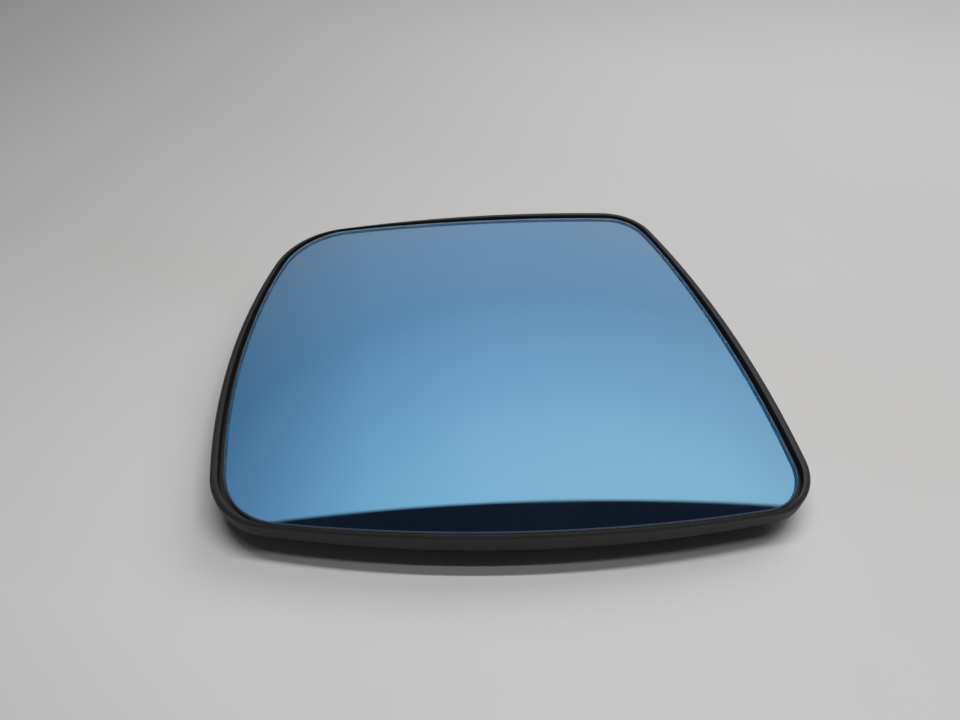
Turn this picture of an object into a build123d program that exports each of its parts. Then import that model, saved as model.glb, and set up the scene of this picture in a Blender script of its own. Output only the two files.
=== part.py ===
"""Left-hand car door mirror glass: convex glass bonded into a moulded holder with a clip ring on its back.

Millimetres. Z runs along the clip ring's axis and out of the glass, X towards the car's body and Y up the
mirror. The origin is on the ring's axis, in the plane of the ring's mouth, on which the part lies.
"""

import os

from build123d import *

# Glass outline: the four points where its bowed sides would meet if the corners weren't rounded
bottom_outer_x, bottom_outer_y = -84.6, -66.0
bottom_inner_x, bottom_inner_y = 94.7, -60.8
top_inner_x, top_inner_y = 55.7, 72.7
top_outer_x, top_outer_y = -79.7, 62.8

# How far each side of the glass bows out from the straight line between its corners
bottom_bow = 8.7
inner_bow = 5.3
top_bow = 1.7
outer_bow = 9.9

# Corner radii of the glass
bottom_outer_radius = 22.4
bottom_inner_radius = 14.8
top_inner_radius = 16.2
top_outer_radius = 28.0

# Holder outline: what its corner points, bows and corner radii add to those of the glass
bottom_outer_out_x, bottom_outer_out_y = -4.3, -0.7
bottom_inner_out_x, bottom_inner_out_y = 4.4, -0.3
top_inner_out_x, top_inner_out_y = 1.7, 3.8
top_outer_out_x, top_outer_out_y = -3.2, 0.7
bottom_bow_out = 1.1
inner_bow_out = 1.0
top_bow_out = 1.2
outer_bow_out = 0.3
bottom_outer_radius_out = -0.4
bottom_inner_radius_out = 2.0
top_inner_radius_out = 4.2
top_outer_radius_out = 1.2

# Convex glass and the adhesive sheet under it
glass_radius = 1300.0
glass_thickness = 2.0
glass_top_height = 19.0
arris = 0.4
pad_thickness = 0.8
pad_inset = 3.0

# Holder: this share of the border round the glass is the gap, and the rest of it is the rim
gap_share = 0.38
rim_proud = 0.3
rim_round = 1.6
holder_depth = 10.3
floor_thickness = 1.8

# Ribs on the holder's back
rib_thickness = 1.6
rib_height = 1.6
spoke_count = 8
hoop_radius = 54.0
gusset_reach = 14.0
gusset_drop = 4.5

# Clip ring
ring_bore_radius = 27.0
ring_wall = 2.2
finger_count = 8
finger_slot = 3.0
finger_length = 10.0
hook_depth = 1.2
hook_length = 2.5
hook_lead_in = 1.0
hook_window_width = 12.0

# Concentric domes, all struck from one centre below the part
dome_centre = (0, 0, glass_top_height - glass_radius)
glass_back_radius = glass_radius - glass_thickness
floor_top_radius = glass_back_radius - pad_thickness
floor_back_radius = floor_top_radius - floor_thickness
rim_top_radius = glass_radius + rim_proud
rib_radius = floor_back_radius - rib_height
tall = 2 * glass_top_height

# The skirt behind the rim ends in one flat plane, and no rib reaches past it
skirt_plane = Plane.XY.offset(glass_top_height - holder_depth)

# The clip ring runs from its mouth at the origin up into the middle of the floor
ring_outer_radius = ring_bore_radius + ring_wall
hook_radius = ring_bore_radius - hook_depth
ring_top = floor_back_radius + floor_thickness / 2 + dome_centre[2]

glass_corners = [
    Vector(bottom_outer_x, bottom_outer_y),
    Vector(bottom_inner_x, bottom_inner_y),
    Vector(top_inner_x, top_inner_y),
    Vector(top_outer_x, top_outer_y),
]
corner_outs = [
    Vector(bottom_outer_out_x, bottom_outer_out_y),
    Vector(bottom_inner_out_x, bottom_inner_out_y),
    Vector(top_inner_out_x, top_inner_out_y),
    Vector(top_outer_out_x, top_outer_out_y),
]
glass_bows = [bottom_bow, inner_bow, top_bow, outer_bow]
bow_outs = [bottom_bow_out, inner_bow_out, top_bow_out, outer_bow_out]
glass_radii = [bottom_outer_radius, bottom_inner_radius, top_inner_radius, top_outer_radius]
radius_outs = [bottom_outer_radius_out, bottom_inner_radius_out, top_inner_radius_out, top_outer_radius_out]


def side_disc(start, end, bow, margin):
    """Disc whose edge makes one bowed side, grown by margin, with its seam turned away from the glass."""
    chord = end - start
    outward = chord.rotate(Axis.Z, -90).normalized()
    radius = ((chord.length / 2) ** 2 + bow**2) / (2 * bow)
    centre = (start + end) / 2 - outward * (radius - bow)
    turn = Vector(1, 0).get_signed_angle(-outward)
    with Locations(Location(centre, (0, 0, turn))):
        Circle(radius + margin, mode=Mode.INTERSECT)


def outline(share, margin=0):
    """Overlap of four side discs: the glass's edge at share 0, the holder's at 1, grown by a margin."""
    corners = [corner + out * share for corner, out in zip(glass_corners, corner_outs)]
    bows = [bow + out * share for bow, out in zip(glass_bows, bow_outs)]
    radii = [radius + out * share for radius, out in zip(glass_radii, radius_outs)]
    with BuildSketch() as sketch:
        Circle(sum(corner.length for corner in corners))
        for index, bow in enumerate(bows):
            side_disc(corners[index], corners[(index + 1) % len(corners)], bow, margin)
        for corner, radius in zip(corners, radii):
            fillet(sketch.vertices().sort_by_distance(corner)[0], radius + margin)
    return sketch.sketch


# The ring's axis stands in the middle of the holder's outline
holder_face = outline(1)
holder_box = holder_face.bounding_box()
to_axis = Location(-holder_box.center())
holder_face = to_axis * holder_face
pocket_face = to_axis * outline(gap_share)
glass_face = to_axis * outline(0)
pad_face = to_axis * outline(0, -pad_inset)


def dome(radius, mode):
    """Keep what lies under a dome of this radius, or cut it away."""
    with Locations(dome_centre):
        Sphere(radius, rotation=(90, 0, 0), mode=mode)


# Mirror glass: bent sheet glass with a ground edge and a small arris along its front
with BuildPart() as mirror_glass:
    with BuildSketch():
        add(glass_face)
    extrude(amount=tall)
    dome(glass_radius, Mode.INTERSECT)
    dome(glass_back_radius, Mode.SUBTRACT)
    front_face = mirror_glass.faces().filter_by(GeomType.SPHERE).sort_by(Axis.Z)[-1]
    chamfer(front_face.edges(), arris)
mirror_glass.part.label = "mirror_glass"

# Adhesive pad: a die-cut sheet that stops short of the glass edge
with BuildPart() as adhesive_pad:
    with BuildSketch():
        add(pad_face)
    extrude(amount=tall)
    dome(glass_back_radius, Mode.INTERSECT)
    dome(floor_top_radius, Mode.SUBTRACT)
adhesive_pad.part.label = "adhesive_pad"

# Pocket that the glass lies in, and the hollow inside the skirt behind the floor
with BuildPart() as pocket:
    with BuildSketch():
        add(pocket_face)
    extrude(amount=tall)
    dome(floor_top_radius, Mode.SUBTRACT)

with BuildPart() as hollow:
    with BuildSketch():
        add(pocket_face)
    extrude(amount=tall)
    dome(floor_back_radius, Mode.INTERSECT)

# Ribs: spokes from the clip ring to the skirt and a hoop between them, following the dome
with BuildPart() as ribs:
    with BuildSketch(skirt_plane):
        Circle(hoop_radius + rib_thickness / 2)
        Circle(hoop_radius - rib_thickness / 2, mode=Mode.SUBTRACT)
        with PolarLocations(0, spoke_count):
            Rectangle(holder_box.diagonal, rib_thickness, align=(Align.MIN, Align.CENTER))
        Circle(ring_bore_radius, mode=Mode.SUBTRACT)
        add(pocket_face, mode=Mode.INTERSECT)
    extrude(amount=tall)
    dome(floor_top_radius, Mode.INTERSECT)
    dome(rib_radius, Mode.SUBTRACT)

# Gussets: webs on the spokes that brace the root of the clip ring
with BuildPart() as gussets:
    with BuildSketch():
        with PolarLocations(0, spoke_count):
            Rectangle(ring_outer_radius + gusset_reach, rib_thickness, align=(Align.MIN, Align.CENTER))
    extrude(amount=ring_top)
    with BuildSketch(Plane.XZ):
        with BuildLine():
            Polyline(
                (ring_bore_radius, ring_top),
                (ring_bore_radius, ring_top - gusset_drop),
                (ring_outer_radius, ring_top - gusset_drop),
                (ring_outer_radius + gusset_reach, ring_top),
                close=True,
            )
        make_face()
    revolve(axis=Axis.Z, mode=Mode.INTERSECT)

# Backing plate: a domed floor inside a rounded rim, with the ribs and the clip ring on its back
with BuildPart() as backing_plate:
    with BuildSketch(skirt_plane):
        add(holder_face)
    extrude(amount=tall)
    dome(rim_top_radius, Mode.INTERSECT)
    fillet(backing_plate.faces().filter_by(GeomType.SPHERE).edges(), rim_round)
    add(pocket.part, mode=Mode.SUBTRACT)
    add(hollow.part, mode=Mode.SUBTRACT)
    add(ribs.part)
    add(gussets.part)
    with BuildSketch(Plane.XZ):
        with BuildLine():
            Polyline(
                (ring_outer_radius, 0),
                (ring_outer_radius, ring_top),
                (ring_bore_radius, ring_top),
                (ring_bore_radius, hook_lead_in + hook_length + hook_depth),
                (hook_radius, hook_lead_in + hook_length),
                (hook_radius, hook_lead_in),
                (hook_radius + hook_lead_in, 0),
                close=True,
            )
        make_face()
    revolve(axis=Axis.Z)
    with PolarLocations(ring_bore_radius, finger_count):
        Box(
            2 * (hook_depth + ring_wall),
            finger_slot,
            finger_length,
            align=(Align.CENTER, Align.CENTER, Align.MIN),
            mode=Mode.SUBTRACT,
        )
    with Locations((0, 0, ring_top)):
        with PolarLocations(ring_bore_radius - hook_depth / 2, finger_count, start_angle=180 / finger_count):
            Box(hook_depth, hook_window_width, 2 * floor_thickness, mode=Mode.SUBTRACT)
backing_plate.part.label = "backing_plate"

os.makedirs("parts", exist_ok=True)
export_step(mirror_glass.part, "parts/mirror_glass.step")
export_step(adhesive_pad.part, "parts/adhesive_pad.step")
export_step(backing_plate.part, "parts/backing_plate.step")
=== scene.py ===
import math

import bmesh
import bpy
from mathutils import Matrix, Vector


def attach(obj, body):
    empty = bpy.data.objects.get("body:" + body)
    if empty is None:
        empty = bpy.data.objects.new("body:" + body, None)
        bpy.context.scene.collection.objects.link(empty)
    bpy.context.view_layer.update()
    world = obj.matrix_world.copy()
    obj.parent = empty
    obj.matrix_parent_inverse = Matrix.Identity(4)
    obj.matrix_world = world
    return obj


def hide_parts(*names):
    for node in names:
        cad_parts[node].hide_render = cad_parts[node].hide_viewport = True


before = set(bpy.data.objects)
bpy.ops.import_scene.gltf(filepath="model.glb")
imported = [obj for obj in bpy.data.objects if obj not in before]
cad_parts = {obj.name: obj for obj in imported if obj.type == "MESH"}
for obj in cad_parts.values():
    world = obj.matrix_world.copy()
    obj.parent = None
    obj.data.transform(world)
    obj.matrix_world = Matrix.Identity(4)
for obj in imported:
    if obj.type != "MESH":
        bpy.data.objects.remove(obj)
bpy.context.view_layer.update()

# Holder. One injection moulding in black ABS: the rounded rim, the skirt below it, the domed floor under the
# glass and, on the back, the ribs and the clip ring that snaps onto the mirror's adjuster.
MM = 0.001
glass_radius = 1300 * MM
glass_top = 19 * MM
rim_proud = 0.3 * MM
dome_centre = Vector((0, 0, glass_top - glass_radius))


def linear(hex_colour):
    """An sRGB hex colour as the linear RGBA that sockets take."""
    channels = [int(hex_colour[i : i + 2], 16) / 255 for i in (1, 3, 5)]
    return [c / 12.92 if c <= 0.04045 else ((c + 0.055) / 1.055) ** 2.4 for c in channels] + [1]


def add_node(tree, kind, inputs=(), ramp=(), **settings):
    """Adds a node: settings are its options, inputs are values or sockets to link, ramp its colour stops."""
    node = tree.nodes.new("ShaderNode" + kind)
    for option, value in settings.items():
        setattr(node, option, value)
    for socket, value in dict(inputs).items():
        if isinstance(value, bpy.types.NodeSocket):
            tree.links.new(value, node.inputs[socket])
        else:
            node.inputs[socket].default_value = value
    for i, (position, hex_colour) in enumerate(ramp):
        stops = node.color_ramp.elements
        stop = stops[i] if i < len(stops) else stops.new(position)
        stop.position, stop.color = position, linear(hex_colour)
    return node


# Black ABS from a spark-eroded tool: a fine satin grain that spreads the light into a soft grey sheen, and is
# rubbed smoother along the crest of the rim, where dust and hands reach it. The crest is also painted a
# lighter grey, a painted highlight along the rim. The real grain is about 0.1 mm, too fine to show from here,
# so it is drawn at 0.45 mm.
grain_size = 0.45 * MM
grain_depth = 0.1 * MM
crest_depth = 0.5 * MM
mottle_size = 7 * MM
dust_spacing = 2.2 * MM
black_abs = bpy.data.materials.new("moulded_black_abs")
black_abs.use_nodes = True
tree = black_abs.node_tree
shader = tree.nodes["Principled BSDF"]
place = add_node(tree, "TexCoord").outputs["Object"]
grain = add_node(
    tree, "TexNoise", {"Vector": place, "Scale": 1 / grain_size, "Detail": 3, "Roughness": 0.6}
)
mottle = add_node(
    tree, "TexNoise", {"Vector": place, "Scale": 1 / mottle_size, "Detail": 4, "Roughness": 0.55}
)
height = add_node(tree, "VectorMath", {0: place, 1: dome_centre}, operation="DISTANCE")
crest = add_node(
    tree,
    "MapRange",
    {
        "Value": height.outputs["Value"],
        "From Min": glass_radius - crest_depth,
        "From Max": glass_radius + rim_proud,
    },
    interpolation_type="SMOOTHSTEP",
)
# Mask for the smoother, rubbed crest (roughness) and for the painted highlight on its colour
rubbed_crest_and_highlight = add_node(
    tree, "Math", {0: crest.outputs["Result"], 1: mottle.outputs["Fac"]}, operation="MULTIPLY"
)
abs_colour = add_node(
    tree, "ValToRGB", {"Fac": mottle.outputs["Fac"]}, ramp=[(0.3, "#151516"), (0.7, "#1b1b1b")]
)
# Painted highlight: the crest's colour is lightened towards #2c2b2a, standing in for light caught along the
# rim
crest_highlight_colour = add_node(
    tree,
    "Mix",
    {"Factor": rubbed_crest_and_highlight.outputs["Value"], "A": abs_colour.outputs["Color"], "B": linear("#2c2b2a")},
    data_type="RGBA",
)
dust_cells = add_node(
    tree, "TexVoronoi", {"Vector": place, "Scale": 1 / dust_spacing, "Randomness": 1}, feature="F1"
)
dust = add_node(
    tree,
    "MapRange",
    {
        "Value": dust_cells.outputs["Distance"],
        "From Min": 0.05,
        "From Max": 0.09,
        "To Min": 0.35,
        "To Max": 0,
    },
    interpolation_type="SMOOTHSTEP",
)
dusty_colour = add_node(
    tree,
    "Mix",
    {"Factor": dust.outputs["Result"], "A": crest_highlight_colour.outputs["Result"], "B": linear("#6b6762")},
    data_type="RGBA",
)
tree.links.new(dusty_colour.outputs["Result"], shader.inputs["Base Color"])
satin = add_node(
    tree,
    "MapRange",
    {"Value": rubbed_crest_and_highlight.outputs["Value"], "From Min": 0, "From Max": 0.7, "To Min": 0.52, "To Max": 0.4},
)
tree.links.new(satin.outputs["Result"], shader.inputs["Roughness"])
skin = add_node(tree, "Bump", {"Height": grain.outputs["Fac"], "Strength": 0.6, "Distance": grain_depth})
tree.links.new(skin.outputs["Normal"], shader.inputs["Normal"])
shader.inputs["IOR"].default_value = 1.53
shader.inputs["Specular IOR Level"].default_value = 0.3
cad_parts["backing_plate"].material_slots[0].material = black_abs

# Adhesive pad. A die-cut sheet of double-sided acrylic foam tape, pressed between the glass and the holder's
# floor. Its cut edge stops short of the glass edge, and shows as dull, dark foam if the glass is lifted. The
# cells are drawn coarser than they are.
foam_cell = 0.3 * MM
pore_depth = 0.1 * MM
foam_tape = bpy.data.materials.new("acrylic_foam_tape")
foam_tape.use_nodes = True
tree = foam_tape.node_tree
shader = tree.nodes["Principled BSDF"]
place = add_node(tree, "TexCoord").outputs["Object"]
cells = add_node(tree, "TexVoronoi", {"Vector": place, "Scale": 1 / foam_cell}, feature="F1")
foam_colour = add_node(
    tree, "ValToRGB", {"Fac": cells.outputs["Distance"]}, ramp=[(0.1, "#141415"), (0.8, "#2a2a2b")]
)
tree.links.new(foam_colour.outputs["Color"], shader.inputs["Base Color"])
pores = add_node(
    tree, "Bump", {"Height": cells.outputs["Distance"], "Strength": 0.5, "Distance": pore_depth}
)
tree.links.new(pores.outputs["Normal"], shader.inputs["Normal"])
shader.inputs["Roughness"].default_value = 0.9
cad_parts["adhesive_pad"].material_slots[0].material = foam_tape

# Mirror glass. A 2 mm sheet of float glass, cut to the outline, ground round its edge, bent over a dome in
# the furnace and coated blue on its back. It is stuck to the adhesive pad, inside the rim.
glass_thickness = 2 * MM
arris = 0.4 * MM
bond_line = 0.02 * MM
sheet_cell = 2 * MM
sheet_columns, sheet_rows = 98, 76
shortest_cut = 0.02 * MM

# The edge of the solid's domed front face gives the lines to cut along, each with its outward side
same_point = 0.005 * MM
dome_tolerance = 0.01 * MM
cad_glass = bmesh.new()
cad_glass.from_mesh(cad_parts["mirror_glass"].data)
bmesh.ops.remove_doubles(cad_glass, verts=cad_glass.verts, dist=same_point)
on_dome = {
    v for v in cad_glass.verts if abs((v.co - dome_centre).length - glass_radius) < dome_tolerance
}
cut_lines = []
for edge in cad_glass.edges:
    if sum(on_dome.issuperset(face.verts) for face in edge.link_faces) == 1:
        along = edge.verts[1].co - edge.verts[0].co
        middle = (edge.verts[1].co + edge.verts[0].co) / 2
        outward = Vector((along.y, -along.x, 0)).normalized()
        cut_lines.append((middle, outward if outward.dot(middle) > 0 else -outward))
cad_glass.free()

# The flat sheet is scored and snapped along each line, then gets its thickness and a loop round its wall
sheet = bmesh.new()
bmesh.ops.create_grid(sheet, x_segments=sheet_columns, y_segments=sheet_rows, size=1)
half_sheet = (sheet_columns / 2 * sheet_cell, sheet_rows / 2 * sheet_cell, 1)
bmesh.ops.scale(sheet, vec=half_sheet, verts=sheet.verts)
for middle, outward in cut_lines:
    bmesh.ops.bisect_plane(
        sheet,
        geom=sheet.verts[:] + sheet.edges[:] + sheet.faces[:],
        plane_co=(middle.x, middle.y, 0),
        plane_no=outward,
        clear_outer=True,
    )
bmesh.ops.remove_doubles(sheet, verts=sheet.verts, dist=shortest_cut)
raised = bmesh.ops.extrude_face_region(sheet, geom=sheet.faces[:], use_keep_orig=True)["geom"]
raised = [v for v in raised if isinstance(v, bmesh.types.BMVert)]
bmesh.ops.translate(sheet, vec=(0, 0, glass_thickness), verts=raised)
uprights = [e for e in sheet.edges if abs(e.verts[0].co.z - e.verts[1].co.z) > glass_thickness / 2]
bmesh.ops.subdivide_edges(sheet, edges=uprights, cuts=1)
bmesh.ops.recalc_face_normals(sheet, faces=sheet.faces)

# The arris slopes from the front face out to the full outline. Bending brings the front face onto the dome,
# and the back face a bond line clear of the adhesive
coat_slot, wall_slot, arris_slot, clear_slot = range(4)
back_level, arris_level, front_level = range(3)
for face in sheet.faces:
    face.smooth = True
    if abs(face.normal.z) > 0.5:
        face.material_index = coat_slot if face.normal.z < 0 else clear_slot
    else:
        in_arris = face.calc_center_median().z > glass_thickness / 2
        face.material_index = arris_slot if in_arris else wall_slot
for edge in sheet.edges:
    edge.smooth = len({face.material_index for face in edge.link_faces}) == 1
for vert in sheet.verts:
    level = round(front_level * vert.co.z / glass_thickness)
    walls = [face.normal for face in vert.link_faces if face.material_index in (wall_slot, arris_slot)]
    if walls and level < front_level:
        vert.co += sum(walls, Vector()).normalized() * arris
    shell = glass_radius - (glass_thickness - bond_line if level == back_level else 0)
    vert.co.z = dome_centre.z + math.sqrt(shell**2 - vert.co.x**2 - vert.co.y**2)
    if level == arris_level:
        vert.co.z -= arris
glass_mesh = bpy.data.meshes.new("bent_mirror_glass")
sheet.to_mesh(glass_mesh)
sheet.free()
mirror_glass = bpy.data.objects.new("bent_mirror_glass", glass_mesh)
bpy.context.scene.collection.objects.link(mirror_glass)

# Blue mirror coat on the back of the glass: a sharp, tinted reflection, a little softer in slow patches, with
# a few pinholes about 30 mm apart.
haze_size = 45 * MM
speck_spacing = 30 * MM
blue_mirror = bpy.data.materials.new("blue_coated_mirror")
blue_mirror.use_nodes = True
tree = blue_mirror.node_tree
shader = tree.nodes["Principled BSDF"]
place = add_node(tree, "TexCoord").outputs["Object"]
haze = add_node(
    tree, "TexNoise", {"Vector": place, "Scale": 1 / haze_size, "Detail": 5, "Roughness": 0.6}
)
gloss = add_node(
    tree,
    "MapRange",
    {"Value": haze.outputs["Fac"], "From Min": 0.3, "From Max": 0.7, "To Min": 0.005, "To Max": 0.02},
)
tree.links.new(gloss.outputs["Result"], shader.inputs["Roughness"])
speck_cells = add_node(tree, "TexVoronoi", {"Vector": place, "Scale": 1 / speck_spacing}, feature="F1")
specks = add_node(
    tree,
    "MapRange",
    {
        "Value": speck_cells.outputs["Distance"],
        "From Min": 0.010,
        "From Max": 0.018,
        "To Min": 0.45,
        "To Max": 0,
    },
)
coat_colour = add_node(
    tree,
    "Mix",
    {"Factor": specks.outputs["Result"], "A": linear("#82b6d5"), "B": linear("#50708a")},
    data_type="RGBA",
)
tree.links.new(coat_colour.outputs["Result"], shader.inputs["Base Color"])
shader.inputs["Metallic"].default_value = 1
mirror_glass.data.materials.append(blue_mirror)

# Ground edge: the wheel's grit leaves a frosted wall that only scatters light, so it is pale, and a finer
# arris.
# The arris is drawn dark blue-grey from outside, a painted shade, and both are drawn pale where seen through
# the glass, a painted light. The scratches are drawn coarser than they are.
grit_size = 0.25 * MM
scratch_depth = 0.03 * MM
for finish, dull, bright in (
    ("ground_glass_wall", "#d3dce1", "#e6eef2"),
    ("ground_glass_arris", "#3c4654", "#525e6d"),
):
    ground_glass = bpy.data.materials.new(finish)
    ground_glass.use_nodes = True
    tree = ground_glass.node_tree
    shader = tree.nodes["Principled BSDF"]
    place = add_node(tree, "TexCoord").outputs["Object"]
    grit = add_node(tree, "TexNoise", {"Vector": place, "Scale": 1 / grit_size, "Detail": 2})
    frost = add_node(tree, "ValToRGB", {"Fac": grit.outputs["Fac"]}, ramp=[(0.3, dull), (0.7, bright)])
    # Where the edge is seen from inside through the glass it is drawn pale #e2e9ed: painted light
    side = add_node(tree, "NewGeometry")
    frost_and_painted_inner_light = add_node(
        tree,
        "Mix",
        {"Factor": side.outputs["Backfacing"], "A": frost.outputs["Color"], "B": linear("#e2e9ed")},
        data_type="RGBA",
    )
    tree.links.new(frost_and_painted_inner_light.outputs["Result"], shader.inputs["Base Color"])
    scratched = add_node(
        tree, "Bump", {"Height": grit.outputs["Fac"], "Strength": 0.4, "Distance": scratch_depth}
    )
    tree.links.new(scratched.outputs["Normal"], shader.inputs["Normal"])
    shader.inputs["Roughness"].default_value = 0.6
    mirror_glass.data.materials.append(ground_glass)

# Clear front face of float glass, polished: the coat and the ground edge are seen through it. Its own faint
# reflection is left out, because beside the coat's it doesn't show.
clear_glass = bpy.data.materials.new("clear_float_glass")
clear_glass.use_nodes = True
shader = clear_glass.node_tree.nodes["Principled BSDF"]
shader.inputs["Base Color"].default_value = linear("#ffffff")
shader.inputs["Roughness"].default_value = 0
shader.inputs["IOR"].default_value = 1.52
shader.inputs["Transmission Weight"].default_value = 1
shader.inputs["Specular Tint"].default_value = linear("#000000")
mirror_glass.data.materials.append(clear_glass)
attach(mirror_glass, "root")
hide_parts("mirror_glass")

# Floor. A pale, matt plastic sheet that the part lies on, far wider than the view, with a faint mottle. Its
# colour is darkened towards the back, a painted falloff of the light.
floor_reach = 6
floor_mottle_size = 60 * MM
floor_mottle_shift = 40 * MM
floor_back, floor_front = -364 * MM, 147 * MM
floor_bm = bmesh.new()
bmesh.ops.create_grid(floor_bm, x_segments=2, y_segments=2, size=floor_reach)
floor_mesh = bpy.data.meshes.new("floor")
floor_bm.to_mesh(floor_mesh)
floor_bm.free()
floor = bpy.data.objects.new("floor", floor_mesh)
bpy.context.scene.collection.objects.link(floor)
pale_sheet = bpy.data.materials.new("matt_pale_sheet")
pale_sheet.use_nodes = True
tree = pale_sheet.node_tree
shader = tree.nodes["Principled BSDF"]
place = add_node(tree, "TexCoord").outputs["Object"]
unevenness = add_node(tree, "TexNoise", {"Vector": place, "Scale": 1 / floor_mottle_size, "Detail": 3})
# Painted shade: the colour darkens towards the back, standing in for the light's falloff across the floor
nearer = add_node(tree, "VectorMath", {0: place, 1: (-0.3, -1, 0)}, operation="DOT_PRODUCT")
mottle_and_painted_falloff = add_node(
    tree,
    "Math",
    {0: unevenness.outputs["Fac"], 1: floor_mottle_shift, 2: nearer.outputs["Value"]},
    operation="MULTIPLY_ADD",
)
painted_light_falloff = add_node(
    tree, "MapRange", {"Value": mottle_and_painted_falloff.outputs["Value"], "From Min": floor_back, "From Max": floor_front}
)
floor_colour = add_node(
    tree,
    "ValToRGB",
    {"Fac": painted_light_falloff.outputs["Result"]},
    ramp=[(0, "#a3a2a2"), (0.26, "#afaeae"), (0.48, "#b1b0b0"), (0.71, "#b9b8b7"), (1, "#d0cfcf")],
)
tree.links.new(floor_colour.outputs["Color"], shader.inputs["Base Color"])
shader.inputs["Roughness"].default_value = 0.7
shader.inputs["Specular IOR Level"].default_value = 0.2
floor.data.materials.append(pale_sheet)

# Studio. Two light bars overhead, along X: one over the front edge and a stronger one further back, so the
# rim throws a double shadow forwards and glints a little, and a broad soft lamp at the right and behind.
lamp_height = 0.6
for name, lamp_place, lamp_length, lamp_width, lamp_power, glints in (
    ("bar_over_front", (0.08, -0.034), 0.48, 0.014, 0.66, True),
    ("bar_behind", (0.06, 0.08), 0.5, 0.014, 2.4, True),
    ("soft_lamp_behind", (0.55, 0.5), 0.9, 0.6, 5.6, False),
):
    light = bpy.data.lights.new(name, "AREA")
    light.shape = "RECTANGLE"
    light.size, light.size_y = lamp_length, lamp_width
    light.energy = lamp_power
    lamp = bpy.data.objects.new(name, light)
    lamp.location = (*lamp_place, lamp_height)
    lamp.visible_camera = False
    lamp.visible_transmission = False
    lamp.visible_glossy = glints
    bpy.context.scene.collection.objects.link(lamp)

# Surroundings: a weak, even room light, a pale backdrop for the camera, and what the glass and rim mirror:
# a pale room that is brighter higher up and darker to the sides, with a dark gap overhead
room_lean = (0.12, 0, 1)
gap_normal = (-0.05, 1, -0.4317)
studio = bpy.data.worlds.new("pale_studio")
studio.use_nodes = True
bpy.context.scene.world = studio
tree = studio.node_tree
direction = add_node(tree, "TexCoord").outputs["Generated"]
axes = add_node(tree, "SeparateXYZ", {"Vector": direction})
leaning = add_node(tree, "VectorMath", {0: direction, 1: room_lean}, operation="DOT_PRODUCT")
upwards = add_node(
    tree,
    "ValToRGB",
    {"Fac": leaning.outputs["Value"]},
    ramp=[
        (0.0, "#b8b3b0"),
        (0.52, "#e0c8cb"),
        (0.69, "#c0c7d8"),
        (0.80, "#dce2f0"),
        (0.866, "#f0f4fa"),
        (0.91, "#f6f9fd"),
    ],
)
across = add_node(tree, "MapRange", {"Value": axes.outputs["X"], "From Min": -1, "From Max": 1})
sideways = add_node(
    tree,
    "ValToRGB",
    {"Fac": across.outputs["Result"]},
    ramp=[
        (0.02, "#b9c3c8"),
        (0.16, "#65717a"),
        (0.275, "#97a9b3"),
        (0.40, "#ccd6da"),
        (0.50, "#e0e1e2"),
        (0.70, "#ebe8e2"),
        (0.76, "#e9e4de"),
        (0.90, "#a09f9d"),
    ],
)
pale = add_node(
    tree,
    "Mix",
    {"Factor": 1, "A": upwards.outputs["Color"], "B": sideways.outputs["Color"]},
    data_type="RGBA",
    blend_type="MULTIPLY",
)
from_gap = add_node(tree, "VectorMath", {0: direction, 1: gap_normal}, operation="DOT_PRODUCT")
near_side = add_node(
    tree, "MapRange", {"Value": from_gap.outputs["Value"], "From Min": -0.001, "From Max": 0.006}
)
far_side = add_node(
    tree, "MapRange", {"Value": from_gap.outputs["Value"], "From Min": -0.16, "From Max": -0.3}
)
lit = add_node(
    tree, "Math", {0: near_side.outputs["Result"], 1: far_side.outputs["Result"]}, operation="MAXIMUM"
)
surround = add_node(
    tree,
    "Mix",
    {"Factor": lit.outputs["Value"], "A": linear("#232028"), "B": pale.outputs["Result"]},
    data_type="RGBA",
)
rays = add_node(tree, "LightPath")
mirrored = add_node(
    tree,
    "Math",
    {0: rays.outputs["Is Glossy Ray"], 1: rays.outputs["Is Transmission Ray"]},
    operation="MAXIMUM",
)
room_light = add_node(tree, "Background", {"Color": linear("#e8e8ea"), "Strength": 0.053})
reflected = add_node(tree, "Background", {"Color": surround.outputs["Result"], "Strength": 1.3})
backdrop = add_node(tree, "Background", {"Color": linear("#d2cfcc"), "Strength": 1})
lit_or_mirrored = add_node(
    tree,
    "MixShader",
    {
        "Fac": mirrored.outputs["Value"],
        1: room_light.outputs["Background"],
        2: reflected.outputs["Background"],
    },
)
all_rays = add_node(
    tree,
    "MixShader",
    {
        "Fac": rays.outputs["Is Camera Ray"],
        1: lit_or_mirrored.outputs["Shader"],
        2: backdrop.outputs["Background"],
    },
)
tree.links.new(all_rays.outputs["Shader"], tree.nodes["World Output"].inputs["Surface"])

# Camera. A phone's main lens, held in front of the part and looking 50 degrees down at the glass, from the
# place that puts the part's outline where the photo has it.
camera_data = bpy.data.cameras.new("photo_camera")
camera_data.sensor_width = 36
camera_data.lens = 27.75
camera_data.clip_start = 0.01
camera = bpy.data.objects.new("photo_camera", camera_data)
camera.location = (-7.71 * MM, -174.13 * MM, 215.8 * MM)
camera.rotation_euler = (math.radians(40), 0, 0)
bpy.context.scene.collection.objects.link(camera)
bpy.context.scene.camera = camera
bpy.context.scene.view_settings.view_transform = "Standard"
